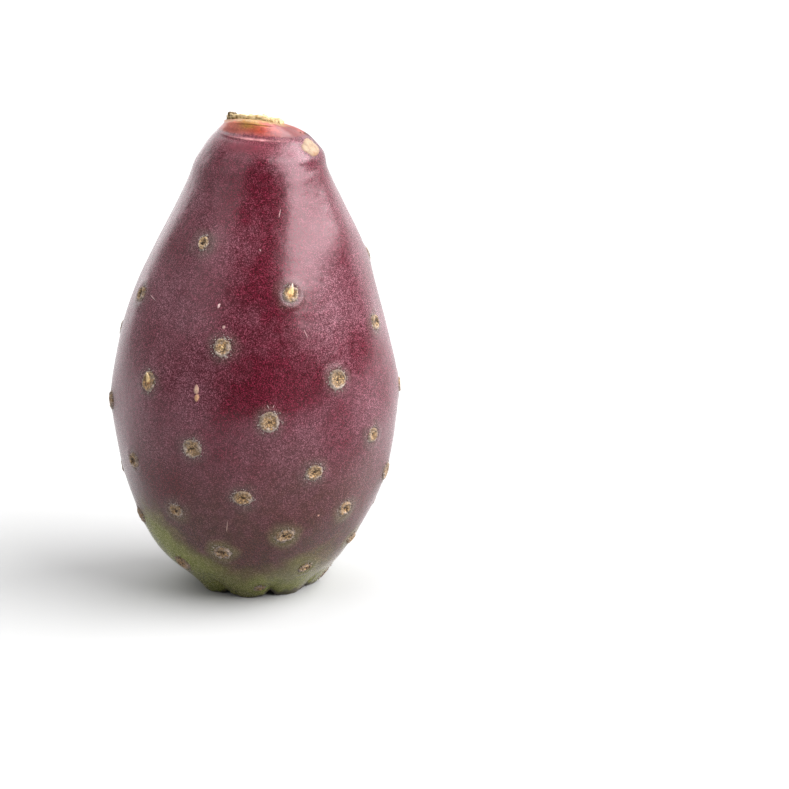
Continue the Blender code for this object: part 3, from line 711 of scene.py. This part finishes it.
MARK_RINGS, MARK_POINTS, MARK_EDGE, MARK_SINK, MARK_BOTTOM = 8, 28, (0.22, 0.6), 0.05, 0.2

# The corky patch where a scale tore off beside the collar
PATCH_AZIMUTH, PATCH_HEIGHT, PATCH_WIDE, PATCH_TALL = 64.5, 82.1, 2.9, 2.45
PATCH_WIDE_TURN, PATCH_TALL_TURN = math.radians(-10.0), math.radians(-32.0)
PATCH_RINGS, PATCH_POINTS, PATCH_EDGE, PATCH_BOTTOM = 26, 96, ((0.10, 0.7), (0.05, 0.2)), 0.4
PATCH_PROUD, PATCH_SINK, PATCH_RIM, PATCH_TAPER = 0.13, 0.07, 0.06, 0.40
CORK_DARK, CORK_PALE = (0.21, 0.145, 0.095), (0.29, 0.205, 0.140)
CORK_ORANGE, CORK_RIM = (0.17, 0.078, 0.034), (0.17, 0.085, 0.060)


def add_mark(shape, mark):
    azimuth, height, wide, tall, turn, proud, middle_colour, edge_colour = mark
    share, angle = disc(MARK_RINGS, MARK_POINTS)
    edge = share * ragged(at_level(np.cos(angle), np.sin(angle), height), MARK_EDGE)
    across, along = turned_by(edge * wide * np.cos(angle), edge * tall * np.sin(angle), turn)
    rough = uneven(at_level(across, along, azimuth), 0.2)
    rise = (proud + MARK_SINK) * fade(0.4, 1.0, share) - MARK_SINK + 0.3 * proud * rough * (share < 0.9)
    tint = mixed(middle_colour, edge_colour, smoothstep(0.35, 1.0, share)) * (1.0 + 0.4 * rough)[..., None]
    place = (math.radians(azimuth), height)
    shape.add_laid(place, (across, along, rise), (proud, -MARK_BOTTOM), tint, (middle_colour, edge_colour))


def add_patch(shape):
    """Teardrop of pale cork with a cracked, slightly sunken middle and an orange-brown lower end."""
    share, angle = disc(PATCH_RINGS, PATCH_POINTS)
    up = np.sin(angle)
    taper = 1.0 - PATCH_TAPER * smoothstep(0.1, 1.0, up) - PATCH_TAPER * smoothstep(0.1, 1.0, -up)
    edge = share * ragged(at_level(np.cos(angle), up, 3.0), *PATCH_EDGE)
    wide, tall = edge * PATCH_WIDE * taper * np.cos(angle), edge * PATCH_TALL * up
    across = wide * math.cos(PATCH_WIDE_TURN) - tall * math.sin(PATCH_TALL_TURN)
    along = wide * math.sin(PATCH_WIDE_TURN) + tall * math.cos(PATCH_TALL_TURN)
    coarse, fine = (uneven(at_level(across, along, 5.0), size) for size in (0.8, 0.22))
    rise = PATCH_PROUD * fade(0.80, 1.0, share) - PATCH_SINK + PATCH_RIM * bell(share, 0.86, 0.08)
    rise += (0.05 * coarse + 0.03 * fine) * fade(0.85, 1.0, share)
    tint = mixed(CORK_DARK, CORK_PALE, smoothstep(-0.2, 0.2, coarse + 0.7 * fine))
    tint = mixed(tint, CORK_ORANGE, smoothstep(0.25, 0.9, -along / PATCH_TALL + 0.3 * coarse))
    tint = mixed(tint, CORK_RIM, smoothstep(0.80, 1.0, share + 0.25 * fine) * 0.8)
    place = (math.radians(PATCH_AZIMUTH), PATCH_HEIGHT)
    shape.add_laid(place, (across, along, rise), (rise[0].mean(), -PATCH_BOTTOM), tint)


def make_marks(material):
    marks, patch = Shape(), Shape()
    for mark in MARKS:
        add_mark(marks, mark)
    add_patch(patch)
    marks.piece("healed_marks", material, "skin")
    patch.piece("corky_patch", material, "scar")


# Stem scar: its place in the seat, its plate and its fibres, in millimetres
SCAR_CENTRE, SCAR_TURN = (0.43, 0.06, 84.7), math.radians(4.0)
PLATE_RINGS, PLATE_POINTS, PLATE_RADIUS, PLATE_RIM, PLATE_MIDDLE = 40, 180, 5.12, 1.50, 1.30
PLATE_FLAT, PLATE_BOTTOM, PLATE_EDGE, PLATE_TAPER = 0.80, 0.02, ((0.035, 0.25), (0.03, 0.07)), 0.10
# The plate's colours. Its cream is also painted as a highlight on the raised streaks and crumbs, and its brown
# as shade in the low ones. Elsewhere they are the plate's and the fibres' own colours.
PLATE_STRAW, PLATE_CREAM_AND_HIGHLIGHT, PLATE_BROWN_AND_SHADE = (0.52, 0.36, 0.16), (0.72, 0.58, 0.36), (0.10, 0.055, 0.02)
TORN_FIBRES, EDGE_FIBRES, FIBRE_RADIUS = 300, 420, (0.035, 0.11)
KNOB_RINGS, KNOB_POINTS, KNOB_CENTRE, KNOB_SIZE = 14, 24, (-4.15, -0.1, 1.7), (0.95, 0.85, 0.62)
KNOB_POLES, KNOB_PALE, KNOB_DARK = (2.28, 1.08), (0.16, 0.10, 0.035), (0.05, 0.03, 0.012)


def in_seat(points):
    """Sets points built on the ground into the sloping seat."""
    x, y, z = np.moveaxis(np.asarray(points, float), -1, 0)
    z = z + rim_rise(x, y)
    c, s = math.cos(SCAR_TURN), math.sin(SCAR_TURN)
    return np.stack([x * c + z * s, y, z * c - x * s], -1) + np.array(SCAR_CENTRE)


def plate_top(radius, azimuth):
    """Height of the torn plate's upper side."""
    waves = np.sin(5 * azimuth) + 0.6 * np.sin(11 * azimuth + 1.0)
    rise = PLATE_MIDDLE + (PLATE_RIM - PLATE_MIDDLE) * smoothstep(1.0, 4.2, radius)
    return rise + 0.16 * waves * (0.35 + 0.65 * smoothstep(3.0, 4.9, radius))


def make_plate(material):
    plate = Shape()
    share, azimuth = disc(PLATE_RINGS, PLATE_POINTS)
    azimuth = azimuth - math.pi
    circle = plain(azimuth, 1.0, 0.0)
    flat = share < PLATE_FLAT
    radius = np.where(flat, share / PLATE_FLAT, 1.0) * PLATE_RADIUS * ragged(circle, *PLATE_EDGE)
    down = np.clip((share - PLATE_FLAT) / (1.0 - PLATE_FLAT), 0.0, 1.0)
    radius = radius * (1.0 - PLATE_TAPER * down ** 2)
    streaks = uneven(np.stack([circle[..., 0] * 9, circle[..., 1] * 9, radius * 0.5], -1), 1.0)
    layers = uneven(np.stack([circle[..., 0] * 4, circle[..., 1] * 4, down * 8.0], -1), 1.0)
    streaks = np.where(flat, streaks, 0.25 * streaks + 1.1 * layers)
    crumbs = uneven(plain(azimuth, radius, 0.0), 0.45)
    top = plate_top(radius, azimuth) + 0.12 * streaks * smoothstep(0.8, 2.5, radius) + 0.14 * crumbs
    height = top * (1.0 - down) + PLATE_BOTTOM * down
    # Painted highlight: cream on the raised streaks and crumbs. Painted shade: brown in the low ones.
    tint = mixed(PLATE_STRAW, PLATE_CREAM_AND_HIGHLIGHT, smoothstep(-0.25, 0.35, streaks + 0.5 * crumbs))
    tint = mixed(tint, PLATE_BROWN_AND_SHADE, smoothstep(0.10, 0.42, -streaks - 0.6 * crumbs) * 0.8)
    tint = mixed(tint, PLATE_BROWN_AND_SHADE, 0.8 * turn_bell(azimuth, -90.0, 28.0) * smoothstep(2.8, 4.2, radius))
    poles = in_seat([(0, 0, top[0].mean()), (0, 0, PLATE_BOTTOM)])
    plate.add_rings(in_seat(plain(azimuth, radius, height)), poles, tint)
    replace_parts(plate.piece("stem_scar_plate", material, "scar"), "stem_scar")


def make_fibres(material):
    fibres, draw = Shape(), random.Random(SEED + 1)
    for index in range(TORN_FIBRES + EDGE_FIBRES):
        turn = draw.uniform(-math.pi, math.pi)
        if index < TORN_FIBRES:
            start = draw.uniform(0.4, 3.9)
            end, far = min(start + draw.uniform(0.5, 1.5), PLATE_RADIUS + 0.05), turn + draw.gauss(0.0, 0.08)
            low, high = plate_top(start, turn) - 0.10, plate_top(end, far) + draw.uniform(0.0, 0.25)
        else:
            start, end = draw.uniform(4.6, 5.0), draw.uniform(4.8, 5.35)
            far = turn + draw.choice((-1, 1)) * draw.uniform(0.12, 0.60)
            low, high = draw.uniform(0.15, 1.45), draw.uniform(0.35, 1.75)
        root, tip = in_seat([plain(turn, start, low), plain(far, end, high)])
        tint = mixed(mixed(PLATE_STRAW, PLATE_CREAM_AND_HIGHLIGHT, draw.random()), PLATE_BROWN_AND_SHADE, 0.7 * (draw.random() < 0.22))
        bow = [draw.uniform(*reach) for reach in ((-0.05, 0.05), (-0.05, 0.05), (0.0, 0.09))]
        add_spike(fibres, root, tip, draw.uniform(*FIBRE_RADIUS), tint, bow, 5, 4)
    fibres.piece("stem_scar_fibres", material, "scar")


def make_knob(material):
    """Dark torn lump on the left end of the plate."""
    knob = Shape()
    share, angle = disc(KNOB_RINGS, KNOB_POINTS)
    tilt = share * math.pi * KNOB_RINGS / (KNOB_RINGS + 1)
    ball = np.stack([np.sin(tilt) * np.cos(angle), np.sin(tilt) * np.sin(angle), np.cos(tilt)], -1)
    rough = uneven(ball + 3.0, 0.9) * 0.30 + uneven(ball, 0.35) * 0.16
    place = np.array(KNOB_CENTRE) + ball * np.array(KNOB_SIZE) * (1.0 + rough[..., None])
    tint = mixed(KNOB_PALE, KNOB_DARK, smoothstep(-0.1, 0.2, rough))
    knob.add_rings(in_seat(place), in_seat([(*KNOB_CENTRE[:2], level) for level in KNOB_POLES]), tint)
    knob.piece("stem_scar_knob", material, "scar")


class Nodes:
    """A material's node tree, built with short calls."""

    def __init__(self, name):
        self.material = bpy.data.materials.new(name)
        self.material.use_nodes = True
        self.tree = self.material.node_tree
        self.shader = self.tree.nodes["Principled BSDF"]
        self.place = self.add("ShaderNodeTexCoord", {}, "Object")

    def put(self, node, socket, value):
        target = node.inputs[socket]
        if isinstance(value, bpy.types.NodeSocket):
            self.tree.links.new(value, target)
        elif isinstance(value, tuple) and len(value) == 3 and target.type == "RGBA":
            target.default_value = (*value, 1.0)
        else:
            target.default_value = value

    def add(self, kind, inputs, output=0, **settings):
        node = self.tree.nodes.new(kind)
        for key, value in settings.items():
            setattr(node, key, value)
        for socket, value in inputs.items():
            self.put(node, socket, value)
        return node.outputs[output]

    def math(self, operation, first, second=0.0):
        return self.add("ShaderNodeMath", {0: first, 1: second}, operation=operation)

    def mix(self, share, first, second):
        return self.add("ShaderNodeMix", {0: share, 6: first, 7: second}, 2, data_type="RGBA")

    def scaled(self, colour, factor):
        return self.add("ShaderNodeVectorMath", {0: colour, 3: factor}, operation="SCALE")

    def band(self, value, low, high, start=0.0, end=1.0):
        return self.add("ShaderNodeMapRange", {0: value, 1: low, 2: high, 3: start, 4: end},
                        interpolation_type="SMOOTHSTEP")

    def noise(self, scale, detail=2.0, roughness=0.5, bent=0.0):
        return self.add("ShaderNodeTexNoise", {
            "Vector": self.place, "Scale": scale, "Detail": detail, "Roughness": roughness, "Distortion": bent})

    def named(self, name, output="Fac"):
        return self.add("ShaderNodeAttribute", {}, output, attribute_name=name)

    def bump(self, height, strength, distance, normal=None):
        inputs = {"Height": height, "Strength": strength, "Distance": distance}
        if normal is not None:
            inputs["Normal"] = normal
        return self.add("ShaderNodeBump", inputs)

    def surface(self, **values):
        for name, value in values.items():
            self.put(self.shader, name.replace("_", " "), value)
        return self.material


# Colours of the skin, as linear reflectances, each with that of its granules
CRIMSON, CRIMSON_GRANULE = (0.026, 0.0002, 0.002), (0.178, 0.009, 0.033)
DUSK, DUSK_GRANULE = (0.044, 0.008, 0.013), (0.300, 0.115, 0.152)
EARTH, EARTH_GRANULE = (0.028, 0.009, 0.004), (0.092, 0.039, 0.023)
HAZE, HAZE_GRANULE = (0.044, 0.025, 0.022), (0.185, 0.122, 0.112)
OLIVE, OLIVE_GRANULE = (0.096, 0.116, 0.012), (0.345, 0.350, 0.105)

# Its noises, in grains a metre, from broad to fine, its roughness between and on the granules, and how much
# rougher it is where painted
BROAD_NOISE, CLOUD_NOISE, PATCH_NOISE, STROKE_NOISE, DOT_NOISE = 110.0, 420.0, 1150.0, 2700.0, 5200.0
SKIN_ROUGHNESS, PAINT_ROUGHNESS = (0.20, 0.30), 0.14


def skin_material():
    """Waxy velvet: dark crimson under fine pale strokes, greyer round the areoles and olive at the foot."""
    nodes = Nodes("prickly_pear_skin")
    broad, cloud = nodes.noise(BROAD_NOISE, 3.0), nodes.noise(CLOUD_NOISE, 3.0, 0.6)
    patch = nodes.noise(PATCH_NOISE, 3.0, 0.6)
    strokes = nodes.math("SUBTRACT", nodes.noise(STROKE_NOISE, 1.0, 0.5, bent=1.3), 0.5)
    strokes = nodes.band(nodes.math("ABSOLUTE", strokes), 0.002, 0.056, 1.0, 0.0)
    dots = nodes.band(nodes.noise(DOT_NOISE, 1.0), 0.52, 0.68)
    strokes = nodes.math("MULTIPLY", strokes, nodes.band(patch, 0.32, 0.62, 0.3, 0.9))
    grain = nodes.math("MAXIMUM", strokes, dots)
    crimson = nodes.math("ADD", nodes.named("Crimson"), nodes.band(cloud, 0.3, 0.7, -0.18, 0.18))
    crimson = nodes.math("MINIMUM", nodes.math("MAXIMUM", crimson, 0.0), 1.0)
    colour, pale = nodes.mix(crimson, DUSK, CRIMSON), nodes.mix(crimson, DUSK_GRANULE, CRIMSON_GRANULE)
    for name, clouded, base, granule in (
        ("Earth", nodes.band(cloud, 0.25, 0.7, 0.5, 1.0), EARTH, EARTH_GRANULE),
        ("Haze", nodes.band(cloud, 0.3, 0.65, 0.25, 0.8), HAZE, HAZE_GRANULE),
        ("Green", nodes.band(broad, 0.25, 0.6, 0.7, 1.0), OLIVE, OLIVE_GRANULE),
    ):
        cover = nodes.math("MULTIPLY", nodes.named(name), clouded)
        colour, pale = nodes.mix(cover, colour, base), nodes.mix(cover, pale, granule)
    grained = nodes.mix(nodes.math("MULTIPLY", grain, 0.8), colour, pale)
    # The collar's own colours, with the painted highlight on the lip, the painted shade under it and the
    # painted contact shade at the foot, laid over the skin's.
    painted_over = nodes.named("Painted")
    shade = nodes.band(nodes.math("ADD", patch, grain), 0.3, 1.3, 0.70, 1.25)
    grained = nodes.mix(painted_over, grained, nodes.scaled(nodes.named("Tint", "Color"), shade))
    rough = nodes.band(grain, 0.0, 1.0, *SKIN_ROUGHNESS)
    rough = nodes.math("ADD", rough, nodes.math("MULTIPLY", painted_over, PAINT_ROUGHNESS))
    normal = nodes.bump(grain, 0.14, 0.00006)
    normal = nodes.bump(patch, 0.10, 0.00022, normal)
    return nodes.surface(
        Base_Color=grained, Roughness=rough, Normal=normal, Sheen_Weight=0.05, Sheen_Roughness=0.35,
        Sheen_Tint=(1.0, 0.60, 0.72), Specular_IOR_Level=0.46, Specular_Tint=(1.0, 0.77, 0.82))


def dry_material(name, sizes, contrast, roughness, depth, sheen):
    """Dry plant stuff coloured by the piece's own tints, with fine grain of two sizes."""
    nodes = Nodes(name)
    coarse, fine = (nodes.noise(size, 3.0, 0.6) for size in sizes)
    grain = nodes.math("ADD", nodes.math("MULTIPLY", coarse, 0.5), nodes.math("MULTIPLY", fine, 0.5))
    shade = nodes.band(grain, 0.30, 0.70, 1.0 - contrast, 1.0 + contrast)
    colour = nodes.scaled(nodes.named("Tint", "Color"), shade)
    rough = nodes.band(fine, 0.3, 0.7, roughness - 0.08, roughness + 0.08)
    return nodes.surface(
        Base_Color=colour, Roughness=rough, Normal=nodes.bump(grain, 0.6, depth), Sheen_Weight=sheen,
        Specular_IOR_Level=0.3)


# Camera: its place as read from the photograph, and the lens that gives the photograph's scale
CAMERA_PLACE, CAMERA_PITCH, CAMERA_LENS = (0.02524, -0.57956, 0.19059), math.radians(75.0), 150.57

# Lights: azimuth and elevation in degrees, distance, width and height in metres, radiance, roll in degrees
LIGHTS = {
    "light_top": (0.0, 86.0, 1.3, 1.9, 1.6, 1.5, 0.0),
    "light_right": (79.0, 40.5, 1.30, 1.85, 0.92, 7.9, 2.0),
    "light_right_wide": (80.0, 40.5, 1.35, 1.95, 1.04, 3.4, 0.0),
    "light_left": (-95.0, 16.0, 1.20, 1.10, 0.8, 0.5, 0.0),
    "light_left_back": (-150.0, 18.0, 0.95, 0.70, 0.9, 1.9, 0.0),
    "light_right_back": (143.0, 17.0, 1.0, 0.9, 0.9, 1.3, 0.0),
    "light_front": (-54.0, 36.0, 1.3, 1.0, 0.9, 1.45, 0.0),
    "light_back": (-162.0, 57.0, 1.4, 1.9, 1.0, 2.0, 0.0),
}
LIGHT_TARGET = Vector((0.0, 0.0, 0.045))
WORLD_GREY, FLOOR_SIZE, FLOOR_GREY = 0.26, 8.0, 0.39


def set_stage():
    scene = bpy.context.scene
    scene.view_settings.view_transform = "Standard"
    camera = bpy.data.cameras.new("camera")
    camera.sensor_width, camera.lens = 36.0, CAMERA_LENS
    camera_object = bpy.data.objects.new("camera", camera)
    camera_object.location = CAMERA_PLACE
    camera_object.rotation_euler = (CAMERA_PITCH, 0.0, 0.0)
    scene.collection.objects.link(camera_object)
    scene.camera = camera_object

    for name, (azimuth, elevation, distance, wide, tall, radiance, roll) in LIGHTS.items():
        light = bpy.data.lights.new(name, "AREA")
        light.shape, light.size, light.size_y = "RECTANGLE", wide, tall
        light.energy = radiance * math.pi * wide * tall
        turn, climb = math.radians(azimuth), math.radians(elevation)
        toward = Vector((math.sin(turn) * math.cos(climb), -math.cos(turn) * math.cos(climb), math.sin(climb)))
        light_object = bpy.data.objects.new(name, light)
        light_object.location = LIGHT_TARGET + toward * distance
        facing = (-toward).to_track_quat("-Z", "Y") @ Quaternion((0.0, 0.0, 1.0), math.radians(roll))
        light_object.rotation_euler = facing.to_euler()
        light_object.visible_camera = False
        scene.collection.objects.link(light_object)

    world = bpy.data.worlds.new("studio")
    world.use_nodes = True
    world.node_tree.nodes["Background"].inputs["Color"].default_value = (WORLD_GREY,) * 3 + (1.0,)
    scene.world = world

    half = FLOOR_SIZE / 2
    mesh = bpy.data.meshes.new("floor")
    corners = [(-half, -half, 0), (half, -half, 0), (half, half, 0), (-half, half, 0)]
    mesh.from_pydata(corners, [], [(0, 1, 2, 3)])
    floor = bpy.data.objects.new("floor", mesh)
    scene.collection.objects.link(floor)
    paper = Nodes("studio_floor")
    paper.surface(Base_Color=(FLOOR_GREY,) * 3, Roughness=0.9, Specular_IOR_Level=0.1)
    mesh.materials.append(paper.material)


set_stage()
felt = dry_material("areole_felt", (1500.0, 4500.0), 0.35, 0.85, 0.0001, 0.15)
straw = dry_material("dry_fibre", (900.0, 3800.0), 0.30, 0.72, 0.00008, 0.0)
make_skin(skin_material())
make_areoles(felt, straw)
make_marks(straw)
make_plate(straw)
make_fibres(straw)
make_knob(straw)
